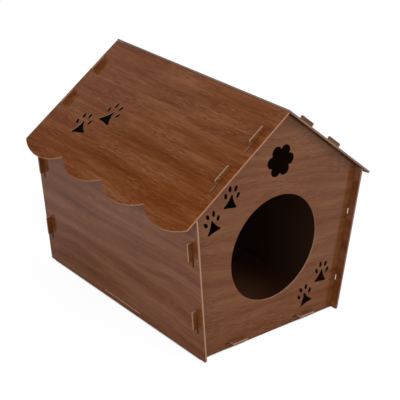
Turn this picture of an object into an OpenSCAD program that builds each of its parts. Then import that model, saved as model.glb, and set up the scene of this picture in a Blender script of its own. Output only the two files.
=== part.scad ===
// Flat-pack cat house of seven thin printed boards that hook together without screws or glue.
// Hook tabs on one board pass through long slots in the next, and the boards then slide to lock.
// The ground is z = 0, the doorway faces -Y and the origin lies under the middle of the house.

/* [Board] */
// Thickness of every board
board = 3; // [2.5:0.1:5]
// Play on each side of a board in its slot or seat
fit = 0.3; // [0.2:0.05:0.5]
// Rounding of the walls' corners
wall_corner_r = 2.5; // [0.5:0.5:5]

/* [House] */
// Length of the walls and the roof, front to back
depth = 400; // [340:1:480]
// Width over the walls at the ground
base_w = 264; // [240:1:300]
// Width over the walls at their top edges
eave_w = 318; // [306:1:350]
// Height of the walls' top edges
eave_h = 229; // [215:1:270]
// Slope of the roof in degrees
roof_pitch = 37; // [32:0.5:42]
// Distance from the walls' ends to the outer face of each gable
gable_inset = 12; // [8:0.5:25]

/* [Eaves] */
// Slope length from the walls' top edges to the points between two scallops
eave_reach = 14.5; // [8:0.5:30]
// Width of one scallop
scallop_w = 102; // [60:1:130]
// Depth of one scallop below the points
scallop_drop = 18.3; // [8:0.1:26]

/* [Doorway] */
// Diameter of the round doorway
door_d = 165; // [130:1:180]
// Height of the doorway's centre
door_z = 139.5; // [115:0.5:145]

/* [Flower vent] */
// Number of petals
petals = 6; // [5:1:8]
// Radius of one petal
petal_r = 9; // [8:0.1:11]
// Radius of the ring that the petals stand on
petal_ring_r = 15.8; // [13:0.1:17]
// Distance from the roof's underside at the ridge down to the flower's centre
vent_drop = 74.5; // [60:0.5:85]

/* [Paw prints] */
// Length of a pad's lower edge
pad_w = 23.4; // [16:0.1:26]
// Height of a pad
pad_h = 20; // [14:0.1:22]
// Rounding of a pad's corners
pad_corner_r = 1.5; // [0.8:0.1:2.2]
// Radius of a pad's hollow flanks
pad_flank_r = 36; // [16:0.5:60]
// Radius of a pad's hollow lower edge
pad_sole_r = 200; // [60:5:400]
// Width of a toe
toe_w = 5.2; // [4.6:0.1:6.4]
// Length of a toe
toe_h = 9; // [7:0.1:10]
// Radius of a toe's round ends
toe_end_r = 2; // [1.2:0.1:2.2]
// Distance of an inner toe from the paw's middle line
inner_toe_x = 5.3; // [4.5:0.1:6.5]
// Height of an inner toe's centre above the pad's lower edge
inner_toe_y = 28.6; // [25:0.1:31]
// Lean of an inner toe in degrees
inner_toe_lean = 13; // [0:1:25]
// Distance of an outer toe from the paw's middle line
outer_toe_x = 11.2; // [10.5:0.1:13.5]
// Height of an outer toe's centre above the pad's lower edge
outer_toe_y = 18.4; // [16:0.1:19]
// Lean of an outer toe in degrees
outer_toe_lean = 24; // [0:1:35]
// Lean of the leading paw of a pair in degrees
lead_paw_lean = 8; // [0:1:20]
// Lean of the following paw of a pair in degrees
trail_paw_lean = 16; // [0:1:25]
// Distance between the paws of a pair, across the steps
paw_step_x = 32.9; // [30:0.1:45]
// Distance between the paws of a pair, along the steps
paw_step_y = 29.9; // [26:0.1:40]
// Size of the roof's paws against the gable's
roof_paw_scale = 1.15; // [0.8:0.01:1.3]
// Distance from the gable's eave corner across to the upper pair
upper_pair_x = 54.7; // [50:0.1:60]
// Distance from the walls' top edges down to the upper pair
upper_pair_drop = 2; // [0:0.5:10]
// Distance from the gable's foot corner across to the lower pair
lower_pair_x = 46.3; // [44:0.1:55]
// Height of the lower pair
lower_pair_z = 55; // [50:0.5:60]
// Distance from the ridge down the slope to the roof's pair
roof_pair_drop = 133.5; // [110:0.5:150]
// Distance from the roof's end to its pair
roof_pair_inset = 98; // [80:1:130]

/* [Hooks] */
// Distance that a hook stands out from the board that it holds
hook_rise = 7.7; // [6:0.1:12]
// Rounding of a hook's outer corners
hook_corner_r = 1.2; // [0.4:0.1:2]
// Length of the neck of a hook that holds a wall
wall_neck = 20; // [12:0.5:26]
// Overhang of a hook that holds a wall
wall_hook = 9.5; // [5:0.5:14]
// Height of the lower wall hook's neck, measured up the wall
wall_hook_low = 54; // [40:0.5:70]
// Distance between the two hooks of a wall
wall_hook_pitch = 110; // [80:0.5:120]
// Length of the neck of a hook that holds the roof
roof_neck = 15.5; // [10:0.5:22]
// Overhang of a hook that holds the roof
roof_hook = 13.3; // [6:0.1:16]
// Distance from the ridge down the slope to the upper roof hook's lower side
roof_hook_drop = 67.5; // [50:0.5:75]
// Distance between the two hooks of one slope
roof_hook_pitch = 73; // [60:0.5:85]
// Length of the neck of a hook that holds a gable to the floor
floor_neck = 20; // [12:0.5:26]
// Overhang of a hook that holds a gable to the floor
floor_hook = 9; // [5:0.5:14]
// Distance from the middle of the house to each floor hook's neck
floor_hook_x = 67; // [45:0.5:75]

/* [Floor] */
// Height of the floor's underside
floor_z = 7.5; // [4:0.5:20]
// Length of the tab on each side of the floor
floor_tab_w = 92; // [60:1:140]

/* [Hidden] */
$fn = 96;

print_brown = "#70462f";
print_dark = "#5f3a26";
floor_brown = "#553422";

// Depth by which two arcs cross where they join, so that they meet in a point instead of grazing
arc_lap = 0.01;

// Lean of the walls, and the length of a wall up its own slope
wall_lean = atan2((eave_w - base_w) / 2, eave_h);
wall_h = eave_h / cos(wall_lean);

// Height of the ridge line where the roof's two undersides meet
ridge_z = eave_h + eave_w / 2 * tan(roof_pitch) + fit / cos(roof_pitch);

// Slope lengths from the ridge line to the scallops' points and to their lowest line
eave_drop = eave_w / 2 / cos(roof_pitch) + fit * tan(roof_pitch) + eave_reach;
scallop_end = eave_drop + scallop_drop;
scallop_r = (pow(scallop_w / 2, 2) + pow(scallop_drop, 2)) / (2 * scallop_drop);
scallop_half_count = ceil(depth / 2 / scallop_w);

// Lapped ridge: the left roof stops under the right one, which covers its end
ridge_angle = 2 * roof_pitch;
left_ridge_gap = (fit + max(0, board * cos(ridge_angle))) / sin(ridge_angle);
right_ridge_lap = board / sin(ridge_angle);

// Faces of the gables, front to back
gable_out = depth / 2 - gable_inset;
gable_in = gable_out - board;

// Outline of a gable inside the walls and under the roof
foot_x = base_w / 2 - (board + fit) / cos(wall_lean);
peak_z = ridge_z - fit / cos(roof_pitch);
eave_x = (foot_x + peak_z * tan(wall_lean)) / (1 + tan(wall_lean) * tan(roof_pitch));
eave_z = peak_z - eave_x * tan(roof_pitch);

// Slot that takes a board's thickness
slot_w = board + 2 * fit;

// Floor between the walls' inner faces, and its side tabs flush with their outer faces
floor_half_x = foot_x + floor_z * tan(wall_lean);
floor_tab_x = base_w / 2 + (floor_z + board / 2) * tan(wall_lean);
floor_half_y = gable_in - fit;

// Lower and upper edge of the walls' slots for those tabs, which cross the leaning board level
tab_slot_low = (floor_z - fit - board * sin(wall_lean)) / cos(wall_lean);
tab_slot_high = (floor_z + board + fit) / cos(wall_lean);

// A board drawn flat, set on the slope of the right wall, with z = 0 at its outer face
module on_right_wall() {
    translate([base_w / 2, 0, 0])
        rotate([0, wall_lean, 0])
            rotate([90, 0, 90])
                children();
}

// A board drawn flat, set on the right slope, with z = 0 at its underside and y up the slope
module on_right_slope() {
    translate([0, 0, ridge_z])
        rotate([0, roof_pitch - 90, 0])
            rotate([90, 0, 90])
                children();
}

// An outline drawn in the gable's plane, set along the right wall's outer face
module along_right_wall() {
    translate([base_w / 2, 0])
        rotate(-wall_lean)
            children();
}

// An outline drawn in the gable's plane, set along the right slope's outer face
module along_right_slope() {
    translate([0, ridge_z])
        rotate(90 - roof_pitch)
            translate([board, 0])
                children();
}

// An outline and its mirror image across the house's middle plane
module both_sides() {
    children();
    mirror([1, 0, 0])
        children();
}

// What is cut off a square corner at the origin to round it, for a board on the side of +x and +y
module corner_cut(r) {
    difference() {
        square(2 * r, center = true);
        translate([r, r])
            circle(r + arc_lap);
    }
}

// A hook tab: x runs out of the board that it holds, y along the slot towards the overhang
module hook_tab(start, neck, overhang) {
    root = board + 2 * fit;
    translate([-root, start])
        square([root + hook_rise / 2, neck]);
    difference() {
        translate([fit, start])
            square([hook_rise - fit, neck + overhang]);
        translate([hook_rise, start])
            mirror([1, 0])
                corner_cut(hook_corner_r);
        translate([hook_rise, start + neck + overhang])
            rotate(180)
                corner_cut(hook_corner_r);
    }
}

// The slot for such a tab, long enough for the whole hook to pass before it slides home
module hook_slot(start, neck, overhang) {
    free = overhang + 2 * fit;
    translate([-slot_w / 2, start - free])
        square([slot_w, free + neck + fit]);
}

// An upright oval of four arcs about its centre: two round ends and two flatter sides
module oval(w, h, end_r) {
    half_w = w / 2;
    end_y = h / 2 - end_r;
    touch_r = end_r - arc_lap;
    side_r = (pow(half_w, 2) + pow(end_y, 2) - pow(touch_r, 2)) / (2 * (half_w - touch_r));
    joint_y = side_r * end_y / (side_r - touch_r);
    for (side = [-1, 1])
        translate([0, side * end_y])
            circle(end_r);
    intersection() {
        translate([side_r - half_w, 0])
            circle(side_r);
        translate([half_w - side_r, 0])
            circle(side_r);
        square([w, 2 * joint_y], center = true);
    }
}

// Centre of the arc that hollows the side from a to b and runs into the round corners there
function hollow_centre(a, b, r) =
    let (half = norm(b - a) / 2, out = [b.y - a.y, a.x - b.x] / norm(b - a))
    (a + b) / 2 + out * sqrt(pow(r + pad_corner_r - arc_lap, 2) - pow(half, 2));

// A pad: three round corners joined by hollow sides, standing on the origin
module paw_pad() {
    left = [pad_corner_r - pad_w / 2, pad_corner_r];
    right = [pad_w / 2 - pad_corner_r, pad_corner_r];
    top = [0, pad_h - pad_corner_r];
    sole = hollow_centre(left, right, pad_sole_r);
    right_flank = hollow_centre(right, top, pad_flank_r);
    left_flank = hollow_centre(top, left, pad_flank_r);
    for (corner = [left, right, top])
        translate(corner)
            circle(pad_corner_r);
    difference() {
        polygon([left, sole, right, right_flank, top, left_flank]);
        translate(sole)
            circle(pad_sole_r);
        for (flank = [left_flank, right_flank])
            translate(flank)
                circle(pad_flank_r);
    }
}

// One paw print about its own middle
module paw() {
    translate([0, -(inner_toe_y + toe_h / 2) / 2]) {
        paw_pad();
        for (side = [-1, 1]) {
            translate([side * inner_toe_x, inner_toe_y])
                rotate(-side * inner_toe_lean)
                    oval(toe_w, toe_h, toe_end_r);
            translate([side * outer_toe_x, outer_toe_y])
                rotate(-side * outer_toe_lean)
                    oval(toe_w, toe_h, toe_end_r);
        }
    }
}

// Two paw prints that step up to the right
module paw_pair() {
    translate([paw_step_x, paw_step_y] / 2)
        rotate(-lead_paw_lean)
            paw();
    translate([-paw_step_x, -paw_step_y] / 2)
        rotate(trail_paw_lean)
            paw();
}

// A flower of round petals about its centre
module flower() {
    circle(petal_ring_r);
    for (i = [0 : petals - 1])
        rotate(i * 360 / petals)
            translate([petal_ring_r, 0])
                circle(petal_r);
}

// The gable's outline with its hooks for the walls and the roof, and its slots for the floor
module gable_outline() {
    difference() {
        union() {
            polygon([[-foot_x, 0], [foot_x, 0], [eave_x, eave_z], [0, peak_z], [-eave_x, eave_z]]);
            both_sides() {
                along_right_wall()
                    for (i = [0, 1])
                        hook_tab(wall_hook_low + i * wall_hook_pitch, wall_neck, wall_hook);
                along_right_slope()
                    for (i = [0, 1])
                        hook_tab(-roof_hook_drop - i * roof_hook_pitch, roof_neck, roof_hook);
            }
        }
        for (side = [-1, 1])
            translate([0, floor_z + board / 2])
                rotate(-90)
                    hook_slot(side * floor_hook_x - floor_neck / 2, floor_neck, floor_hook);
    }
}

module front_panel() {
    color(print_brown)
        translate([0, -gable_in, 0])
            rotate([90, 0, 0])
                linear_extrude(board)
                    difference() {
                        gable_outline();
                        translate([0, door_z])
                            circle(d = door_d);
                        translate([0, ridge_z - vent_drop])
                            flower();
                        translate([upper_pair_x - eave_w / 2, eave_h - upper_pair_drop])
                            paw_pair();
                        translate([base_w / 2 - lower_pair_x, lower_pair_z])
                            paw_pair();
                    }
}

module back_panel() {
    color(print_brown)
        translate([0, gable_out, 0])
            rotate([90, 0, 0])
                linear_extrude(board)
                    gable_outline();
}

// A side wall, drawn as the right one
module wall() {
    color(print_brown)
        on_right_wall()
            translate([0, 0, -board])
                linear_extrude(board)
                    difference() {
                        translate([-depth / 2, 0])
                            square([depth, wall_h]);
                        for (end = [0, 1], top = [0, 1])
                            mirror([end, 0])
                                translate([-depth / 2, top * wall_h])
                                    mirror([0, top])
                                        corner_cut(wall_corner_r);
                        for (end = [-1, 1], i = [0, 1])
                            translate([end * (gable_in + board / 2), 0])
                                hook_slot(wall_hook_low + i * wall_hook_pitch, wall_neck, wall_hook);
                        translate([-floor_tab_w / 2 - fit, tab_slot_low])
                            square([floor_tab_w + 2 * fit, tab_slot_high - tab_slot_low]);
                    }
}

module left_wall() {
    mirror([1, 0, 0])
        wall();
}

module right_wall() {
    wall();
}

module floor_panel() {
    color(floor_brown)
        translate([0, 0, floor_z])
            linear_extrude(board) {
                square([2 * floor_half_x, 2 * floor_half_y], center = true);
                square([2 * floor_tab_x, floor_tab_w], center = true);
                for (side = [-1, 1], end = [0, 1])
                    mirror([0, end])
                        translate([0, -gable_out])
                            rotate(-90)
                                hook_tab(side * floor_hook_x - floor_neck / 2, floor_neck, floor_hook);
            }
}

// A roof panel, drawn as the right one: its upper edge lies at ridge_end up the slope
module roof_panel(ridge_end) {
    color(print_dark)
        on_right_slope()
            linear_extrude(board)
                difference() {
                    roof_outline(ridge_end);
                    for (end = [-1, 1], i = [0, 1])
                        translate([end * (gable_in + board / 2), 0])
                            hook_slot(-roof_hook_drop - i * roof_hook_pitch, roof_neck, roof_hook);
                    translate([roof_pair_inset - depth / 2, -roof_pair_drop])
                        scale(roof_paw_scale)
                            paw_pair();
                }
}

// A rectangle over a row of round scallops, whose arcs cross at the points between them
module roof_outline(ridge_end) {
    overlap = scallop_drop / 2;
    translate([-depth / 2, overlap - eave_drop])
        square([depth, eave_drop - overlap + ridge_end]);
    intersection() {
        translate([-depth / 2, -scallop_end - scallop_drop])
            square([depth, 3 * scallop_drop]);
        for (i = [-scallop_half_count : scallop_half_count - 1])
            translate([(i + 0.5) * scallop_w, scallop_r - scallop_end])
                circle(scallop_r);
    }
}

// The same cut board turned round to the other slope
module left_roof() {
    rotate([0, 0, 180])
        roof_panel(-left_ridge_gap);
}

module right_roof() {
    roof_panel(right_ridge_lap);
}

front_panel();
back_panel();
left_wall();
right_wall();
floor_panel();
left_roof();
right_roof();
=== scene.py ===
# %% [markdown]
# # A cat house of seven hooked boards
# The object is a small flat-pack house for a cat. Seven thin fibreboards hook into each other
# without screws or glue. Outside they carry a walnut print, and inside they get a dark painted
# shade.
# The cut outlines come from the construction model, which is loaded first and never changed.
# Blender adds what the eye looks for: eased edges, the print, the bare fibre of the cut edges
# and the studio. Everything is in metres, in the construction model's own frame.

# %% Load the construction model
import math

import bmesh
import bpy
import numpy as np
from mathutils import Matrix


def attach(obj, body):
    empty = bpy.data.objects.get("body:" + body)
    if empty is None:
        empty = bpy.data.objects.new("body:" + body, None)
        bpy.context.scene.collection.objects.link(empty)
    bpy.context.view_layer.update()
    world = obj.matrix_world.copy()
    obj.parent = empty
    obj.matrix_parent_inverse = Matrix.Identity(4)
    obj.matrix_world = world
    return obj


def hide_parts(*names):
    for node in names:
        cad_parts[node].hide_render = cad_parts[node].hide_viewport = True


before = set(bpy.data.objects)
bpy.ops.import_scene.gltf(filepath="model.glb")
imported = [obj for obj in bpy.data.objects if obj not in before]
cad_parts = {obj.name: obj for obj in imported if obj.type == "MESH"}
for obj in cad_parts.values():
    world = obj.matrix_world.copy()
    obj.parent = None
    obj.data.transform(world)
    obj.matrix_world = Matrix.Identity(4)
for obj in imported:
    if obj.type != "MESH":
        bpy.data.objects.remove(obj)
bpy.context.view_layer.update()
scene = bpy.context.scene
scene.view_settings.view_transform = "Standard"
print("boards:", sorted(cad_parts))

# %% [markdown]
# ## The camera
# The photograph looks at the front left corner of the house, from a little above.
# A camera could be moved by eye until the two pictures agree. Here it was fitted to the
# straight edges of the house instead, which gives its angle, its distance and its lens.
# The picture is square, so the focal length in pixels turns into a lens for the sensor's width.

# %% Place the camera
IMAGE_SIDE_PX = 400
FOCAL_LENGTH_PX = 1151.3
SENSOR_WIDTH_MM = 36.0
VIEW_AZIMUTH = math.radians(-40.17)
VIEW_ELEVATION = math.radians(24.35)
VIEW_ROLL = math.radians(2.2)
VIEW_DISTANCE = 1.770
AIM_HEIGHT = 0.180
SLIDE_RIGHT = 0.0100
SLIDE_UP = -0.03199
UP = np.array([0.0, 0.0, 1.0])


def camera_axes(azimuth, elevation, roll):
    """Right, up and back of a camera that looks at the house.

    Back is the direction from the house to the camera, from two angles on a sphere.
    Right is level and square to back, up is square to both, and the roll turns
    right and up about back by its cosine and sine.
    """
    level = math.cos(elevation)
    back = np.array([math.sin(azimuth) * level, -math.cos(azimuth) * level, math.sin(elevation)])
    right = np.cross(UP, back)
    right /= np.linalg.norm(right)
    up = np.cross(back, right)
    turned_right = math.cos(roll) * right + math.sin(roll) * up
    turned_up = math.cos(roll) * up - math.sin(roll) * right
    return turned_right, turned_up, back


def axes_matrix(right, up, back, place):
    """An object's matrix: its columns are the object's three axes and its place."""
    matrix = np.eye(4)
    matrix[:3] = np.stack([right, up, back, place], axis=1)
    return Matrix(matrix.tolist())


right, up, back = camera_axes(VIEW_AZIMUTH, VIEW_ELEVATION, VIEW_ROLL)
place = back * VIEW_DISTANCE + right * SLIDE_RIGHT + up * SLIDE_UP + UP * AIM_HEIGHT
camera_data = bpy.data.cameras.new("Camera")
camera_data.sensor_width = SENSOR_WIDTH_MM
camera_data.lens = FOCAL_LENGTH_PX / IMAGE_SIDE_PX * SENSOR_WIDTH_MM
camera = bpy.data.objects.new("Camera", camera_data)
camera.matrix_world = axes_matrix(right, up, back, place)
scene.collection.objects.link(camera)
scene.camera = camera
print("camera at", np.round(place, 3), "with a lens of", round(camera_data.lens, 1), "mm")

# %% [markdown]
# ## Node helpers
# A material is a small graph. One helper adds a node, sets its options and fills its inputs:
# a plain value is set, and another node's output is linked. The cells below then read like
# a list of what each finish is made of.

# %% Define the node helpers


def put(tree, kind, sockets=None, **settings):
    """Adds one node. Plain values fill its inputs, and other nodes' outputs are linked to them."""
    made = tree.nodes.new(kind)
    for name, value in settings.items():
        setattr(made, name, value)
    for key, value in (sockets or {}).items():
        if isinstance(value, bpy.types.NodeSocket):
            tree.links.new(value, made.inputs[key])
        else:
            made.inputs[key].default_value = value
    return made


def calc(tree, operation, first, second):
    """One sum, product or other piece of arithmetic on two values."""
    return put(tree, "ShaderNodeMath", {0: first, 1: second}, operation=operation).outputs[0]


def vector_calc(tree, operation, *vectors):
    """One piece of arithmetic on one or two whole vectors. Returns the node's outputs."""
    sockets = dict(enumerate(vectors))
    return put(tree, "ShaderNodeVectorMath", sockets, operation=operation).outputs


print("helpers ready:", [helper.__name__ for helper in (put, calc, vector_calc)])

# %% [markdown]
# ## The studio
# The photograph has a bare white ground and very even light, with hardly any cast shadow.
# Pale walls and a pale floor around the house give that: light comes from all sides, and only
# the corners and the ground near the boards get less of it. The room's ceiling is darker than
# its walls. The roof mirrors the ceiling and keeps its deep colour, while the walls of the
# house mirror the pale ground and turn greyer. A grey screen stands far behind the house, at
# the left. The lower half of the left roof board mirrors it, and looks deeper than the ridge.

# %% Light the world
WHITE = (1.0, 1.0, 1.0, 1.0)
WHOLE = 1.0
ROOM_WHITE = 1.0
CEILING_GREY = 0.5
WHITE_UP_TO = math.sin(math.radians(27))
GREY_FROM = math.sin(math.radians(50))
SCREEN_SHARE = 0.75
SCREEN_FROM_X, SCREEN_TO_X = -0.16, -0.225
SCREEN_FROM_Y, SCREEN_TO_Y = 0.3, 0.6


def ramp(tree, value, start, end, low=0.0, high=1.0):
    """A smooth rise from low to high, while a value goes from start to end."""
    sockets = {"Value": value, "From Min": start, "From Max": end, "To Min": low, "To Max": high}
    return put(tree, "ShaderNodeMapRange", sockets, interpolation_type="SMOOTHSTEP").outputs[0]


world = bpy.data.worlds.new("White studio")
world.use_nodes = True
world_tree = world.node_tree
world_tree.nodes.clear()
direction = put(world_tree, "ShaderNodeTexCoord").outputs["Generated"]
towards = put(world_tree, "ShaderNodeSeparateXYZ", {0: direction}).outputs
room = ramp(world_tree, towards["Z"], WHITE_UP_TO, GREY_FROM, ROOM_WHITE, CEILING_GREY)
leftward = ramp(world_tree, towards["X"], SCREEN_TO_X, SCREEN_FROM_X, SCREEN_SHARE, 0.0)
backward = ramp(world_tree, towards["Y"], SCREEN_FROM_Y, SCREEN_TO_Y)
screen = calc(world_tree, "MULTIPLY", leftward, backward)
strength = calc(world_tree, "MULTIPLY", room, calc(world_tree, "SUBTRACT", WHOLE, screen))
sky = put(world_tree, "ShaderNodeBackground", {"Color": WHITE, "Strength": strength})
put(world_tree, "ShaderNodeOutputWorld", {"Surface": sky.outputs[0]})
scene.world = world
print("room white", ROOM_WHITE, "and ceiling", CEILING_GREY)

# %% [markdown]
# ## The ground
# The ground is a large matt plane. What the camera sees of it is lifted towards white, so that
# only a faint shadow stays, as in the photograph. A glossy surface that stands on the ground
# mirrors the part close by, which lies in the shade of the house. So the mirrored ground is
# greyer there, and it is lifted only far away. The material works out the distance itself,
# from the box that the house covers on the ground.

# %% Measure the footprint
STANDING_BELOW = 0.001
NO_OVERSHOOT = (0.0, 0.0, 0.0)


def point_array(mesh):
    """All points of a mesh as one array, with a row for each point."""
    points = np.empty(len(mesh.vertices) * 3)
    mesh.vertices.foreach_get("co", points)
    return points.reshape(-1, 3)


def standing_reach(node):
    """How far a board's points on the ground lie from the middle, on each axis."""
    points = point_array(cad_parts[node].data)
    return np.abs(points[points[:, 2] < STANDING_BELOW]).max(axis=0)


def footprint_distance(tree):
    """How far a place lies outside the footprint: the length of its overshoot on both axes."""
    place = put(tree, "ShaderNodeTexCoord").outputs["Object"]
    size = vector_calc(tree, "ABSOLUTE", place)[0]
    over = vector_calc(tree, "SUBTRACT", size, footprint)[0]
    over = vector_calc(tree, "MAXIMUM", over, NO_OVERSHOOT)[0]
    return vector_calc(tree, "LENGTH", over)["Value"]


footprint = np.array([standing_reach("left_wall")[0], standing_reach("front_panel")[1], 0.0])
print("footprint of", 2 * footprint[:2], "m")

# %% Make the ground's material
FLOOR_COLOUR = (0.9, 0.9, 0.9, 1.0)
FLOOR_LIFT = 0.93
FLOOR_GLOW = 1.02
SEEN_REACH = 0.002
SHADE_REACH = 0.12
SHADE_GREY, OPEN_GREY = 0.45, 0.7
LIFTED_FROM, LIFTED_TO = 0.8, 1.8
COLOUR_A, COLOUR_B, COLOUR_OUT = 6, 7, 2


def blank_material(name):
    """A new material and its empty node tree."""
    material = bpy.data.materials.new(name)
    material.use_nodes = True
    material.node_tree.nodes.clear()
    return material, material.node_tree


def mixed(tree, factor, first, second):
    """Two colours mixed by a factor."""
    sockets = {0: factor, COLOUR_A: first, COLOUR_B: second}
    return put(tree, "ShaderNodeMix", sockets, data_type="RGBA").outputs[COLOUR_OUT]


floor_material, floor_tree = blank_material("Pale studio floor")
path = put(floor_tree, "ShaderNodeLightPath").outputs
away = footprint_distance(floor_tree)
lift = ramp(floor_tree, away, 0.0, SEEN_REACH, 0.0, FLOOR_LIFT)
seen = calc(floor_tree, "MULTIPLY", path["Is Camera Ray"], lift)
mirrored = calc(floor_tree, "MAXIMUM", path["Is Glossy Ray"], path["Is Transmission Ray"])
far = calc(floor_tree, "MULTIPLY", mirrored, ramp(floor_tree, away, LIFTED_FROM, LIFTED_TO))
share = calc(floor_tree, "MAXIMUM", seen, far)
grey = ramp(floor_tree, away, 0.0, SHADE_REACH, SHADE_GREY, OPEN_GREY)
colour = mixed(floor_tree, mirrored, FLOOR_COLOUR, grey)
lit = put(floor_tree, "ShaderNodeBsdfDiffuse", {"Color": colour})
glow = put(floor_tree, "ShaderNodeEmission", {"Color": WHITE, "Strength": FLOOR_GLOW})
blend = put(floor_tree, "ShaderNodeMixShader", {0: share, 1: lit.outputs[0], 2: glow.outputs[0]})
put(floor_tree, "ShaderNodeOutputMaterial", {"Surface": blend.outputs[0]})
print("ground material has", len(floor_tree.nodes), "nodes")

# %% Lay the floor
FLOOR_HALF_SIDE = 6.0
FLOOR_DROP = 0.0002

corner_signs = np.array([[-1, -1], [1, -1], [1, 1], [-1, 1]])
corner_heights = np.full(len(corner_signs), -FLOOR_DROP)
floor_corners = np.column_stack([corner_signs * FLOOR_HALF_SIDE, corner_heights])
floor_mesh = bpy.data.meshes.new("Studio_floor")
floor_mesh.from_pydata(floor_corners.tolist(), [], [list(range(len(floor_corners)))])
floor_mesh.materials.append(floor_material)
studio_floor = bpy.data.objects.new("Studio_floor", floor_mesh)
scene.collection.objects.link(studio_floor)
print("floor laid,", 2 * FLOOR_HALF_SIDE, "m wide")

# %% [markdown]
# ## The lamps
# One large soft lamp stands at the left. It lights the left wall, the roof and the strip of the
# right wall beside the gable, but it hardly shines into the doorway.
# The second one hangs in front of the gable, well above it. It shines through the doorway onto
# the middle of the floor, which gives the faint brown glow in the dark. The overhang of the
# right roof board keeps its light off the gable, which gives the soft shade below that board.
# A small third one stands at the right. The free end of the right wall keeps it off the
# gable's corner, so that corner looks deep brown, as it does in the photograph.

# %% Hang the lamps
LAMP_TARGET = np.array([0.0, 0.0, 0.15])
LAMPS = {"Side_lamp": {"place": np.array([-2.3, -1.0, 1.7]), "side": 1.6, "power": 26.0},
         "Front_lamp": {"place": np.array([0.3, -2.15, 2.3]), "side": 1.2, "power": 29.0},
         "Corner_lamp": {"place": np.array([1.9, -1.9, 1.3]), "side": 0.8, "power": 12.0}}


def hang_lamp(name, place, side, power):
    """A square lamp that looks at the target: its back points from the target to its place."""
    data = bpy.data.lights.new(name, "AREA")
    data.size = side
    data.energy = power
    lamp = bpy.data.objects.new(name, data)
    away = (place - LAMP_TARGET) / np.linalg.norm(place - LAMP_TARGET)
    level = np.cross(UP, away)
    level /= np.linalg.norm(level)
    lamp.matrix_world = axes_matrix(level, np.cross(away, level), away, place)
    scene.collection.objects.link(lamp)
    print(name, "of", power, "W at", place)


for lamp_name, settings in LAMPS.items():
    hang_lamp(lamp_name, **settings)

# %% [markdown]
# ## Reading a board's cut outline
# Each board is one flat sheet with a cut outline: hooks, slots, paws, scallops and the doorway.
# The outline could be drawn again here, but the construction model already has it, exactly
# where the boards meet. Its mesh is loose triangles, so a copy is welded first. The face that
# looks out of the house is picked by its normal, and every edge that only one of its
# triangles uses is part of the cut line, with the board on its left.

# %% Define the outline reader
WELD = 4e-6
SAME_WAY = 0.9
HOUSE_MIDDLE = np.array([0.0, 0.0, 0.17])


def welded_arrays(node):
    """Points and triangles of a board's solid as whole arrays, from a welded copy of its mesh."""
    work = bmesh.new()
    work.from_mesh(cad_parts[node].data)
    bmesh.ops.remove_doubles(work, verts=work.verts, dist=WELD)
    welded = bpy.data.meshes.new("welded_copy")
    work.to_mesh(welded)
    work.free()
    points = point_array(welded)
    corners = np.empty(len(welded.loops), int)
    welded.loops.foreach_get("vertex_index", corners)
    bpy.data.meshes.remove(welded)
    return points, corners.reshape(-1, 3)


def triangle_normals(points, triangles):
    """The cross product of two sides of each triangle: its normal, as long as twice its area."""
    first = points[triangles[:, 1]] - points[triangles[:, 0]]
    second = points[triangles[:, 2]] - points[triangles[:, 0]]
    return np.cross(first, second)


def board_normal(points, triangles):
    """The direction square to a board, pointing out of the house.

    Every triangle adds its normal times itself, transposed, over its area to a 3 by 3 sum.
    The sum's main axis is the line that most of the surface faces.
    """
    cross = triangle_normals(points, triangles)
    area = np.linalg.norm(cross, axis=1, keepdims=True)
    spread = (cross / np.maximum(area, WELD * WELD)).T @ cross
    normal = np.linalg.eigh(spread)[1][:, -1]
    outward = (points.min(axis=0) + points.max(axis=0)) / 2 - HOUSE_MIDDLE
    return normal * np.sign(normal @ outward)


def cut_outline(points, triangles, normal):
    """The outer face's triangles, and the directed edges that only one of them uses."""
    cross = triangle_normals(points, triangles)
    looks_out = cross @ normal > SAME_WAY * np.linalg.norm(cross, axis=1)
    face = triangles[looks_out]
    edges = np.concatenate([face[:, [0, 1]], face[:, [1, 2]], face[:, [2, 0]]])
    forward = edges[:, 0] * len(points) + edges[:, 1]
    reverse = edges[:, 1] * len(points) + edges[:, 0]
    return face, edges[~np.isin(forward, reverse)]


for board in sorted(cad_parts):
    board_points, board_triangles = welded_arrays(board)
    board_out = board_normal(board_points, board_triangles)
    board_outline = cut_outline(board_points, board_triangles, board_out)[1]
    print(board, "faces", np.round(board_out, 3), "with", len(board_outline), "outline edges")

# %% [markdown]
# ## The eased edge
# A router leaves a sharp edge, which is then broken with a sanding block: without that small
# round, the edge catches no light and looks like cut paper. A Bevel modifier could round it,
# but it stumbles over the many fine cut-outs. So the board is swept instead: a profile with two
# small quarter rounds is carried along the whole outline at once. At each corner it follows
# the mitre, the direction that keeps both neighbouring edges at the same distance.

# %% Define the profile and the mitres
BOARD = 0.003
ARRIS = 0.00022
ARRIS_STEPS = 3
MITRE_LIMIT = 0.25


def edge_profile():
    """Inset and depth of the profile's points, from the outer face to the inner one.

    A quarter round has inset r - r sin(a) and depth r - r cos(a), for a from 0 to 90 degrees.
    The second half is the first one turned over.
    """
    turn = np.linspace(0.0, math.pi / 2, ARRIS_STEPS + 1)
    inset = ARRIS * (1 - np.sin(turn))
    depth = ARRIS * (1 - np.cos(turn))
    return np.concatenate([inset, inset[::-1]]), np.concatenate([depth, BOARD - depth[::-1]])


def mitres(rim, follow, normal):
    """At each outline corner, the step that moves both neighbouring edges out by one unit.

    With unit outward directions p and q of the two edges, it is (p + q) / (1 + p.q).
    The lengths of the edges that leave the corners come with it.
    """
    along = rim[follow] - rim
    leaving = np.cross(along / np.linalg.norm(along, axis=1, keepdims=True), normal)
    arriving = np.empty_like(leaving)
    arriving[follow] = leaving
    opening = 1 + np.sum(leaving * arriving, axis=1, keepdims=True)
    return (leaving + arriving) / np.maximum(opening, MITRE_LIMIT), np.linalg.norm(along, axis=1)


print("depths of the profile:", np.round(edge_profile()[1], 5))

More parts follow.
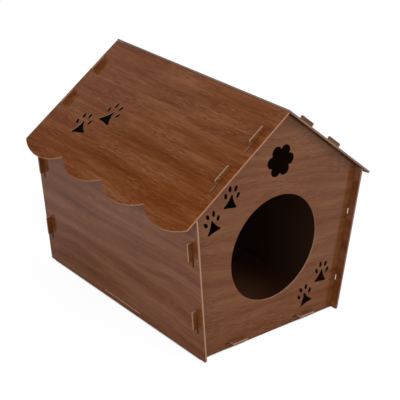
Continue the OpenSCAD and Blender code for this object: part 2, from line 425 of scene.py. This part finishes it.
# %% [markdown]
# ## Which tool made a cut
# The outline of a board and the doorway are routed. The toes, the pads and the flower are much
# finer, and the slots for the hooks are short and straight. They get finishes of their own, so
# each loop of the outline is sorted by its length and by its number of corners.

# %% Define the finish of a cut
PRINT_SLOT, EDGE_SLOT, FINE_SLOT, HOOK_SLOT = range(4)
SHORT_LOOP = 0.3
HOOK_SLOT_CORNERS = 8


def cut_finish(follow, run):
    """Which finish the cut has at each outline corner.

    Every corner takes the lowest number among the corners after it, over steps that double
    each time, so that all corners of one loop end with the same number. A short loop is a
    cut-out: with few corners it is a straight slot, and with many a toe, a pad or the flower.
    """
    loop = np.arange(len(follow))
    ahead = follow
    for doubling in range(len(follow).bit_length()):
        loop = np.minimum(loop, loop[ahead])
        ahead = ahead[ahead]
    member, corners = np.unique(loop, return_inverse=True, return_counts=True)[1:]
    length = np.bincount(member, weights=run)
    short = length < SHORT_LOOP
    straight = short & (corners <= HOOK_SLOT_CORNERS)
    return np.select([straight, short], [HOOK_SLOT, FINE_SLOT], EDGE_SLOT)[member]


print("loops shorter than", SHORT_LOOP, "m are slots or fine cuts")

# %% [markdown]
# ## Sweeping a board
# The rings of the profile follow each other from the outer face to the inner one, and quads
# join each ring to the next. The two faces reuse the construction model's triangles, on the
# first and the last ring. The few points inside a face have no ring and come last.

# %% Define the board sweep
NOT_ON_RIM = -1


def sweep(node):
    """A board's points, outer, inner and swept faces, and its outline's order, runs and normal.

    Place = rim - inset * mitre - depth * normal, for all rings at once.
    """
    points, triangles = welded_arrays(node)
    normal = board_normal(points, triangles)
    face, outline = cut_outline(points, triangles, normal)
    rim_number = np.full(len(points), NOT_ON_RIM)
    rim_number[outline[:, 0]] = np.arange(len(outline))
    follow = rim_number[outline[:, 1]]
    rim = points[outline[:, 0]]
    mitre, run = mitres(rim, follow, normal)
    inset, depth = edge_profile()
    rings = rim - inset[:, None, None] * mitre - depth[:, None, None] * normal

    inside = np.setdiff1d(face, outline[:, 0])
    rim_count, ring_count = len(rim), len(rings)
    outer_number = rim_number.copy()
    outer_number[inside] = ring_count * rim_count + np.arange(len(inside))
    inner_number = rim_number + (ring_count - 1) * rim_count
    inner_number[inside] = outer_number[inside] + len(inside)
    lower_inside = points[inside] - BOARD * normal
    places = np.concatenate([rings.reshape(-1, 3), points[inside], lower_inside])

    ring = np.arange(ring_count - 1)[:, None] * rim_count
    here = ring + np.arange(rim_count)
    there = ring + follow
    swept = np.stack([here, here + rim_count, there + rim_count, there], axis=-1)
    return places, outer_number[face], inner_number[face[:, ::-1]], swept, follow, run, normal


print("a sweep has", len(edge_profile()[0]), "rings")

# %% [markdown]
# ## Texture places and the finished board
# A pattern needs to know where on the board it is. The faces get places in metres, along and
# across the grain. The cut edge gets places along the cut and through the board, so that its
# layers can be drawn. Both are written into one texture map, and each face gets the number of
# its finish.

# %% Define the finished board
SMOOTH_UP_TO = math.radians(40)
INNER_FACE_SHIFT = 0.83
PLACE_MAP = "Board"


def texture_places(places, faces_out, faces_in, swept, run, normal, grain):
    """The texture place of every face corner.

    On the faces it is the dot product with the grain and with the direction across it.
    The inner face is shifted to another part of the sheet. On the cut it is run and depth.
    """
    flat = np.column_stack([places @ grain, places @ np.cross(normal, grain)])
    shift = np.array([0.0, INNER_FACE_SHIFT])
    film = flat[swept]
    film[ARRIS_STEPS + 1:] += shift
    start = np.zeros_like(run)
    along_cut = np.stack([start, start, run, run], axis=-1)
    through = edge_profile()[1][[ARRIS_STEPS, ARRIS_STEPS + 1, ARRIS_STEPS + 1, ARRIS_STEPS]]
    film[ARRIS_STEPS] = np.stack([along_cut, np.broadcast_to(through, along_cut.shape)], axis=-1)
    return np.concatenate([flat[faces_out].ravel(), (flat + shift)[faces_in].ravel(), film.ravel()])


def eased_board(name, node, grain):
    """A board as an object: its swept mesh, its texture places and the finish of each face."""
    places, faces_out, faces_in, swept, follow, run, normal = sweep(node)
    mesh = bpy.data.meshes.new(name)
    faces = faces_out.tolist() + faces_in.tolist() + swept.reshape(-1, 4).tolist()
    mesh.from_pydata(places.tolist(), [], faces)
    texture = texture_places(places, faces_out, faces_in, swept, run, normal, grain)
    mesh.uv_layers.new(name=PLACE_MAP).data.foreach_set("uv", texture)
    cap_count = len(faces_out) + len(faces_in)
    ring_finish = np.full(swept.shape[:2], PRINT_SLOT)
    ring_finish[ARRIS_STEPS] = cut_finish(follow, run)
    finish = np.concatenate([np.full(cap_count, PRINT_SLOT), ring_finish.ravel()])
    mesh.polygons.foreach_set("material_index", finish)
    mesh.set_sharp_from_angle(angle=SMOOTH_UP_TO)
    mesh.polygons.foreach_set("use_smooth", np.arange(len(mesh.polygons)) >= cap_count)
    piece = bpy.data.objects.new(name, mesh)
    scene.collection.objects.link(piece)
    counts = np.bincount(ring_finish[ARRIS_STEPS], minlength=HOOK_SLOT + 1)[EDGE_SLOT:]
    print(name, "has", len(places), "points")
    print("    with", counts, "corners on its outline, fine cuts and slots")
    return piece


print("boards are", BOARD, "m thick, with edges eased by", ARRIS, "m")

# %% [markdown]
# ## The walnut print
# The boards aren't solid walnut: a printed film with a walnut figure covers them.
# A photograph of veneer could be wrapped on, but a pattern made of noise has no edge and no
# repeat, and each board can be cut from another place of the same endless sheet.
# The figure has three scales: wavy bands of one to three centimetres, streaks of a few
# millimetres and fine fibres. All are noise that is stretched along the grain. A slow noise
# first pushes the places across the grain, which bends the bands as in a real trunk.
# Short pale flecks and dark pores lie on top, in clusters. The group is built once, and each
# board gives it its own place, colours and strengths.

# %% Define the noise helpers
NOISE_SCALE = 1.0
MIDDLE_OF_NOISE = 0.5
CALM = {"Detail": 1.0, "Roughness": 0.5}
LIVELY = {"Detail": 2.0, "Roughness": 0.5}
BUSY = {"Detail": 3.0, "Roughness": 0.6}


def new_group(name, inputs, outputs):
    """An empty shader group with named sockets, and its input and output nodes."""
    group = bpy.data.node_groups.new(name, "ShaderNodeTree")
    for label, kind in inputs.items():
        group.interface.new_socket(label, in_out="INPUT", socket_type="NodeSocket" + kind)
    for label, kind in outputs.items():
        group.interface.new_socket(label, in_out="OUTPUT", socket_type="NodeSocket" + kind)
    return group, put(group, "NodeGroupInput").outputs, put(group, "NodeGroupOutput").inputs


def stretched_noise(tree, place, pitch, temper):
    """Noise with a different pitch along and across the grain, in repeats a metre."""
    scaled = vector_calc(tree, "MULTIPLY", place, pitch)[0]
    sockets = {"Vector": scaled, "Scale": NOISE_SCALE, **temper}
    return put(tree, "ShaderNodeTexNoise", sockets, noise_dimensions="2D").outputs[0]


def around_zero(tree, noise, strength):
    """Noise moved to swing about zero, times a strength."""
    return calc(tree, "MULTIPLY", calc(tree, "SUBTRACT", noise, MIDDLE_OF_NOISE), strength)


def clamped(tree, value):
    """A value kept between 0 and 1."""
    return put(tree, "ShaderNodeClamp", {"Value": value}).outputs[0]


print("noise of three tempers:", CALM, LIVELY, BUSY)

# %% Build the walnut figure's tone
WARP_PITCH = (5.5, 11.0, 1.0)
BAND_PITCH = (4.5, 60.0, 1.0)
STREAK_PITCH = (14.0, 240.0, 1.0)
FIBRE_PITCH = (60.0, 900.0, 1.0)

walnut_inputs = {"Place": "Vector", "Cut From": "Vector", "Wave": "Float", "Band": "Float",
                 "Streak": "Float", "Fibre": "Float", "Fleck": "Float", "Pore": "Float",
                 "Dark": "Color", "Middle": "Color", "Light": "Color", "Warm": "Color",
                 "Pale": "Color"}
walnut_outputs = {"Colour": "Color", "Roughness": "Float", "Height": "Float"}
walnut, given, result = new_group("Walnut figure", walnut_inputs, walnut_outputs)

sheet = vector_calc(walnut, "ADD", given["Place"], given["Cut From"])[0]
push = around_zero(walnut, stretched_noise(walnut, sheet, WARP_PITCH, CALM), given["Wave"])
step = put(walnut, "ShaderNodeCombineXYZ", {"Y": push}).outputs[0]
bent = vector_calc(walnut, "ADD", sheet, step)[0]

bands = stretched_noise(walnut, bent, BAND_PITCH, LIVELY)
streaks = stretched_noise(walnut, bent, STREAK_PITCH, BUSY)
fibres = stretched_noise(walnut, bent, FIBRE_PITCH, LIVELY)
tone = calc(walnut, "ADD", around_zero(walnut, bands, given["Band"]),
            around_zero(walnut, streaks, given["Streak"]))
tone = calc(walnut, "ADD", tone, around_zero(walnut, fibres, given["Fibre"]))
tone = calc(walnut, "ADD", tone, MIDDLE_OF_NOISE)
print("walnut tone from", len(walnut.nodes), "nodes")

# %% Colour the walnut figure
DOUBLE = 2.0
TINT_PITCH = (3.0, 14.0, 1.0)
TINT_STRENGTH = 1.6
FLECK_PITCH = (50.0, 650.0, 1.0)
PORE_PITCH = (70.0, 700.0, 1.0)
CLUSTER_PITCH = (9.0, 34.0, 1.0)
FLECK_FROM, FLECK_TO = 0.6, 0.76
PORE_FROM, PORE_TO = 0.56, 0.72
CLUSTER_FROM, CLUSTER_TO = 0.4, 0.62
GLOSS_BASE, GLOSS_SWING = 0.1, 0.06

tint = around_zero(walnut, stretched_noise(walnut, bent, TINT_PITCH, CALM), TINT_STRENGTH)
tint = clamped(walnut, calc(walnut, "ADD", tint, MIDDLE_OF_NOISE))
body_colour = mixed(walnut, tint, given["Middle"], given["Warm"])
doubled = calc(walnut, "MULTIPLY", tone, DOUBLE)
colour = mixed(walnut, clamped(walnut, doubled), given["Dark"], body_colour)
to_light = clamped(walnut, calc(walnut, "SUBTRACT", doubled, WHOLE))
colour = mixed(walnut, to_light, colour, given["Light"])

clusters = stretched_noise(walnut, bent, CLUSTER_PITCH, CALM)
clusters = ramp(walnut, clusters, CLUSTER_FROM, CLUSTER_TO)
flecks = ramp(walnut, stretched_noise(walnut, bent, FLECK_PITCH, CALM), FLECK_FROM, FLECK_TO)
flecks = calc(walnut, "MULTIPLY", flecks, clusters)
colour = mixed(walnut, calc(walnut, "MULTIPLY", flecks, given["Fleck"]), colour, given["Pale"])
pores = ramp(walnut, stretched_noise(walnut, bent, PORE_PITCH, CALM), PORE_FROM, PORE_TO)
pores = calc(walnut, "MULTIPLY", pores, clusters)
colour = mixed(walnut, calc(walnut, "MULTIPLY", pores, given["Pore"]), colour, given["Dark"])

gloss = calc(walnut, "ADD", around_zero(walnut, streaks, GLOSS_SWING), GLOSS_BASE)
height = calc(walnut, "SUBTRACT", fibres, pores)
for label, value in {"Colour": colour, "Roughness": gloss, "Height": height}.items():
    walnut.links.new(value, result[label])
print("walnut figure has", len(walnut.nodes), "nodes")

# %% [markdown]
# ## The bare edge
# Where the router has cut, the film ends and the pale fibreboard shows. It is pressed wood
# fibre: matt, slightly speckled, and denser and darker close to both faces than in the core.
# A flat tan would do from far away. Near the edge the layers show, so the colour follows
# the place through the board, which is in the texture map.
# The paws and the flower are too fine for the router. Their sides are painted almost black, as
# painted shade for these deep narrow holes. The roof's paws keep a pale rim, and only their depth
# is painted dark. The slots of the walls and gables are painted dark brown, as painted shade in the
# narrow slots. The left roof board's edges and slots are warmer than the other ones, and the wall
# and the roof of the right side have duller edges.

# %% Build the fibreboard group
SPECK_PITCH = 900.0
SPECK_DETAIL = 3.0
SPECK_FROM, SPECK_TO = 0.45, 0.75
CLOUD_PITCH = 70.0

fibre_inputs = {"Place": "Vector", "Through": "Float", "Core": "Color", "Skin": "Color",
                "Speck": "Color", "Core Depth": "Float", "Core Edge": "Float", "Skin Edge": "Float"}
fibre_outputs = {"Colour": "Color", "Height": "Float"}
fibreboard, fibre_given, fibre_result = new_group("Bare fibreboard", fibre_inputs, fibre_outputs)

from_core = calc(fibreboard, "SUBTRACT", fibre_given["Through"], fibre_given["Core Depth"])
from_core = put(fibreboard, "ShaderNodeMath", {0: from_core}, operation="ABSOLUTE").outputs[0]
dense = ramp(fibreboard, from_core, fibre_given["Core Edge"], fibre_given["Skin Edge"])
layers = mixed(fibreboard, dense, fibre_given["Core"], fibre_given["Skin"])
fine = {"Vector": fibre_given["Place"], "Scale": SPECK_PITCH, "Detail": SPECK_DETAIL}
specks = put(fibreboard, "ShaderNodeTexNoise", fine).outputs[0]
coarse = {"Vector": fibre_given["Place"], "Scale": CLOUD_PITCH}
clouds = put(fibreboard, "ShaderNodeTexNoise", coarse).outputs[0]
speckled = calc(fibreboard, "MULTIPLY", ramp(fibreboard, specks, SPECK_FROM, SPECK_TO), clouds)
cut_colour = mixed(fibreboard, speckled, layers, fibre_given["Speck"])
fibreboard.links.new(cut_colour, fibre_result["Colour"])
fibreboard.links.new(specks, fibre_result["Height"])
print("bare fibreboard has", len(fibreboard.nodes), "nodes")

# %% Make the edges' materials
EDGE_ROUGHNESS = 0.85
EDGE_SPECULAR = 0.0
EDGE_RELIEF = 0.00004
LAYERS = {"Core Depth": BOARD / 2, "Core Edge": 0.0009, "Skin Edge": 0.0015}
# Layers with the dark core at the far face, so that the painted shade deepens into the hole.
DEEP_SHADE_LAYERS = {"Core Depth": BOARD, "Core Edge": 0.0015, "Skin Edge": 0.002}
BARE_LOOK = {"Core": (0.295, 0.165, 0.107, 1.0), "Skin": (0.25, 0.13, 0.08, 1.0),
             "Speck": (0.2, 0.1, 0.06, 1.0), **LAYERS}
ROOF_EDGE_LOOK = {"Core": (0.295, 0.148, 0.0845, 1.0), "Skin": (0.25, 0.117, 0.063, 1.0),
                  "Speck": (0.2, 0.09, 0.047, 1.0), **LAYERS}
DULL_LOOK = {"Core": (0.198, 0.118, 0.09, 1.0), "Skin": (0.138, 0.083, 0.063, 1.0),
             "Speck": (0.108, 0.066, 0.048, 1.0), **LAYERS}
# Painted shade: the slots' dark brown stands in for the shade inside these narrow slots.
SLOT_SHADE_LOOK = {"Core": (0.1, 0.042, 0.02, 1.0), "Skin": (0.12, 0.052, 0.026, 1.0),
               "Speck": (0.07, 0.03, 0.014, 1.0), **LAYERS}
# Painted shade: the fine cuts' near black, and the roof paws' dark depth, stand in for the shade in
# these deep narrow holes.
FINE_CUT_SHADE_LOOK = {"Core": (0.006, 0.004, 0.003, 1.0), "Skin": (0.02, 0.013, 0.009, 1.0),
              "Speck": (0.004, 0.003, 0.002, 1.0), **LAYERS}
ROOF_PAW_SHADE_LOOK = {"Core": (0.006, 0.002, 0.0005, 1.0), "Skin": (0.3, 0.2, 0.12, 1.0),
                 "Speck": (0.03, 0.012, 0.004, 1.0), **DEEP_SHADE_LAYERS}


def cut_edge(name, look):
    """A cut through the board: fibre in layers, with the colours given, rough and without shine."""
    material, tree = blank_material(name)
    place = put(tree, "ShaderNodeUVMap", uv_map=PLACE_MAP).outputs[0]
    through = put(tree, "ShaderNodeSeparateXYZ", {0: place}).outputs["Y"]
    where = put(tree, "ShaderNodeTexCoord").outputs["Object"]
    sockets = {"Place": where, "Through": through, **look}
    cut = put(tree, "ShaderNodeGroup", sockets, node_tree=fibreboard).outputs
    relief = put(tree, "ShaderNodeBump", {"Height": cut["Height"], "Distance": EDGE_RELIEF})
    shader = put(tree, "ShaderNodeBsdfPrincipled",
                 {"Base Color": cut["Colour"], "Roughness": EDGE_ROUGHNESS,
                  "Specular IOR Level": EDGE_SPECULAR, "Normal": relief.outputs[0]})
    put(tree, "ShaderNodeOutputMaterial", {"Surface": shader.outputs[0]})
    print("made:", name)
    return material


bare_edge = cut_edge("Bare cut edge", BARE_LOOK)
roof_edge = cut_edge("Roof's cut edge", ROOF_EDGE_LOOK)
dull_edge = cut_edge("Dull cut edge", DULL_LOOK)
# The slots get a dark brown painted shade instead of the bare fibre's colour.
slot_shade_edge = cut_edge("Slot, painted shade", SLOT_SHADE_LOOK)
# The paws and the flower get a near-black painted shade, the roof's paws only in their depth.
fine_cut_shade_edge = cut_edge("Fine cut, painted shade", FINE_CUT_SHADE_LOOK)
roof_paw_shade_edge = cut_edge("Roof paw cut, painted shade", ROOF_PAW_SHADE_LOOK)
wall_edges = {"left": bare_edge, "right": dull_edge}
roof_edges = {"left": roof_edge, "right": dull_edge}

# %% [markdown]
# ## The painted shade inside
# Inside the room the boards get a dark painted shade, so the doorway looks almost black.
# Faces could be picked one by one for it, but many of them reach past the room. So the painted
# shade lies where a place is behind the inner faces of all boards at once. That is one dot product
# for each board, and it leaves the hooks and the walls' free ends printed.
# The roof boards have it on their whole undersides, so for them only the roof's planes count.

# %% Define the lining's mask
# Places up to this far beyond the inner faces still get the painted shade.
SHADE_MASK_MARGIN = 0.001
WELL_BEHIND = -1.0


def behind(name, boards):
    """A group that masks the places behind the inner faces of all the boards given.

    A place p lies n.p - d beyond an inner face with normal n at distance d.
    It is masked where the largest of these values is less than a small margin.
    """
    group, group_given, group_result = new_group(name, {"Place": "Vector"}, {"Mask": "Float"})
    beyond = WELL_BEHIND
    for board in boards:
        points, triangles = welded_arrays(board)
        normal = board_normal(points, triangles)
        face = float((points @ normal).min())
        along = vector_calc(group, "DOT_PRODUCT", group_given["Place"], normal)["Value"]
        beyond = calc(group, "MAXIMUM", beyond, calc(group, "SUBTRACT", along, face))
    group.links.new(calc(group, "LESS_THAN", beyond, SHADE_MASK_MARGIN), group_result["Mask"])
    return group


room_shade = behind("Inside the room", sorted(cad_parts))
underside_shade = behind("Under the roof", ["left_roof", "right_roof"])
print("lining masks:", room_shade.name, "and", underside_shade.name)

# %% [markdown]
# ## The printed film's material
# The film has a soft shine: hooks and neighbouring boards are mirrored in it at a low angle.
# That is a low roughness with a modest specular level, because the film reflects little from
# straight above. The figure drives the colour, a small change of gloss and a faint relief.
# Each finished board takes the place of its construction node, on the body that carries it.

# %% Define the film's material
FILM_SHINE = 0.23
ROOF_SHINE = 0.2
FILM_RELIEF = 0.000012
# Dark painted shade for the inner faces, and its roughness.
INSIDE_SHADE_COLOUR = (0.05, 0.0225, 0.011, 1.0)
PAINTED_SHADE_ROUGHNESS = 0.6
VALUE_A, VALUE_B = 2, 3
ALONG_X = np.array([1.0, 0.0, 0.0])
ALONG_Y = np.array([0.0, 1.0, 0.0])


def walnut_film(name, cut_from, look, shine, shade_mask_group, painted_shade=INSIDE_SHADE_COLOUR):
    """A film with the walnut figure from its own place on the sheet, and dark painted shade where
    masked.
    """
    material, tree = blank_material(name)
    place = put(tree, "ShaderNodeUVMap", uv_map=PLACE_MAP).outputs[0]
    where = put(tree, "ShaderNodeTexCoord").outputs["Object"]
    sockets = {"Place": place, "Cut From": cut_from, **look}
    figure = put(tree, "ShaderNodeGroup", sockets, node_tree=walnut).outputs
    # The mask marks where the colour is painted dark, as painted shade.
    inside = put(tree, "ShaderNodeGroup", {"Place": where}, node_tree=shade_mask_group).outputs["Mask"]
    colour = mixed(tree, inside, figure["Colour"], painted_shade)
    gloss = {0: inside, VALUE_A: figure["Roughness"], VALUE_B: PAINTED_SHADE_ROUGHNESS}
    matt = put(tree, "ShaderNodeMix", gloss).outputs[0]
    relief = put(tree, "ShaderNodeBump", {"Height": figure["Height"], "Distance": FILM_RELIEF})
    shader = put(tree, "ShaderNodeBsdfPrincipled",
                 {"Base Color": colour, "Roughness": matt,
                  "Specular IOR Level": shine, "Normal": relief.outputs[0]})
    put(tree, "ShaderNodeOutputMaterial", {"Surface": shader.outputs[0]})
    return material


def set_up(piece, node, body, finishes):
    """Gives a board its film, edge, fine cuts and slots, and its construction node's place."""
    for finish in finishes:
        piece.data.materials.append(finish)
    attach(piece, body)
    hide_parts(node)


print("film ready, with a shine of", FILM_SHINE, "and of", ROOF_SHINE, "on the roof")

# %% [markdown]
# ## The gables
# The front gable carries the round doorway, the flower vent and the paws, and the back one is
# plain. Their grain runs from wall to wall in soft wavy bands, a little down to the right.

# %% Make the gables
GABLE_TILT = math.radians(6)
GABLE_GRAIN = math.cos(GABLE_TILT) * ALONG_X - math.sin(GABLE_TILT) * UP
GABLE_LOOK = {"Wave": 0.03, "Band": 1.0, "Streak": 0.6, "Fibre": 0.5, "Fleck": 0.4, "Pore": 0.6,
              "Dark": (0.079, 0.0163, 0.002, 1.0), "Middle": (0.118, 0.0405, 0.0135, 1.0),
              "Light": (0.162, 0.067, 0.0255, 1.0), "Warm": (0.12, 0.0386, 0.0117, 1.0),
              "Pale": (0.205, 0.093, 0.0435, 1.0)}
gable_cuts = {"front": (2.07, 5.16, 0.0), "back": (2.74, 1.37, 0.0)}
for side, cut_from in gable_cuts.items():
    gable = eased_board(f"{side}_gable_board", f"{side}_panel", GABLE_GRAIN)
    film = walnut_film(f"Walnut film, {side} gable", cut_from, GABLE_LOOK, FILM_SHINE, room_shade)
    finishes = (film, bare_edge, fine_cut_shade_edge, slot_shade_edge)
    set_up(gable, f"{side}_panel", "house", finishes)

# %% [markdown]
# ## The walls
# The walls lean outwards, and their grain runs from front to back. Their print shows calm,
# broad waves, and the film mirrors the bright ground, which makes them look greyer.

# %% Make the walls
WALL_LOOK = {"Wave": 0.03, "Band": 1.25, "Streak": 0.35, "Fibre": 0.3, "Fleck": 0.45, "Pore": 0.4,
             "Dark": (0.082, 0.0175, 0.001, 1.0), "Middle": (0.132, 0.042, 0.014, 1.0),
             "Light": (0.186, 0.082, 0.044, 1.0), "Warm": (0.138, 0.039, 0.011, 1.0),
             "Pale": (0.22, 0.1, 0.05, 1.0)}
wall_cuts = {"left": (5.51, 0.77, 0.0), "right": (4.13, 0.77, 0.0)}
for side, cut_from in wall_cuts.items():
    wall = eased_board(f"{side}_wall_board", f"{side}_wall", ALONG_Y)
    film = walnut_film(f"Walnut film, {side} wall", cut_from, WALL_LOOK, FILM_SHINE, room_shade)
    finishes = (film, wall_edges[side], fine_cut_shade_edge, slot_shade_edge)
    set_up(wall, f"{side}_wall", "house", finishes)

# %% [markdown]
# ## The floor board
# The floor lies inside, with its side tabs in the walls' slots and its hooks in the gables.
# Its print comes from the same sheet as the walls', and shows on the hooks and underneath.
# Its painted shade is a little lighter and browner than the walls':
# a painted glow where light through the doorway falls.

# %% Make the floor board
FLOOR_CUT_FROM = (1.9, 5.4, 0.0)
# Painted shade for the floor inside, with a painted glow of the light from the doorway.
FLOOR_SHADE_AND_GLOW_COLOUR = (0.08, 0.028, 0.0115, 1.0)
floor_board = eased_board("house_floor_board", "floor_panel", ALONG_Y)
floor_film = walnut_film("Walnut film, floor", FLOOR_CUT_FROM, WALL_LOOK, FILM_SHINE, room_shade,
                         FLOOR_SHADE_AND_GLOW_COLOUR)
finishes = (floor_film, bare_edge, fine_cut_shade_edge, slot_shade_edge)
set_up(floor_board, "floor_panel", "house", finishes)

# %% [markdown]
# ## The roof boards
# The roof has the liveliest print: straight, fine streaks from back to front, warm brown with
# pale flecks. The right board rides on its own body, because it slides up to come off.

# %% Make the roof boards
ROOF_LOOK = {"Wave": 0.008, "Band": 1.15, "Streak": 0.9, "Fibre": 0.6, "Fleck": 0.4, "Pore": 0.8,
             "Dark": (0.091, 0.0172, 0.001, 1.0), "Middle": (0.142, 0.0402, 0.0085, 1.0),
             "Light": (0.21, 0.079, 0.031, 1.0), "Warm": (0.147, 0.0383, 0.0065, 1.0),
             "Pale": (0.27, 0.116, 0.05, 1.0)}
# Painted shade for the roof boards' whole undersides.
UNDERSIDE_SHADE_COLOUR = (0.06, 0.024, 0.01, 1.0)
roof_cuts = {"left": ("house", (8.6, 5.2, 0.0)), "right": ("right_roof", (7.41, 4.63, 0.0))}
for side, (body, cut_from) in roof_cuts.items():
    roof = eased_board(f"{side}_roof_board", f"{side}_roof", ALONG_Y)
    film = walnut_film(f"Walnut film, {side} roof", cut_from, ROOF_LOOK, ROOF_SHINE, underside_shade,
                       UNDERSIDE_SHADE_COLOUR)
    finishes = (film, roof_edges[side], roof_paw_shade_edge, roof_edges[side])
    set_up(roof, f"{side}_roof", body, finishes)
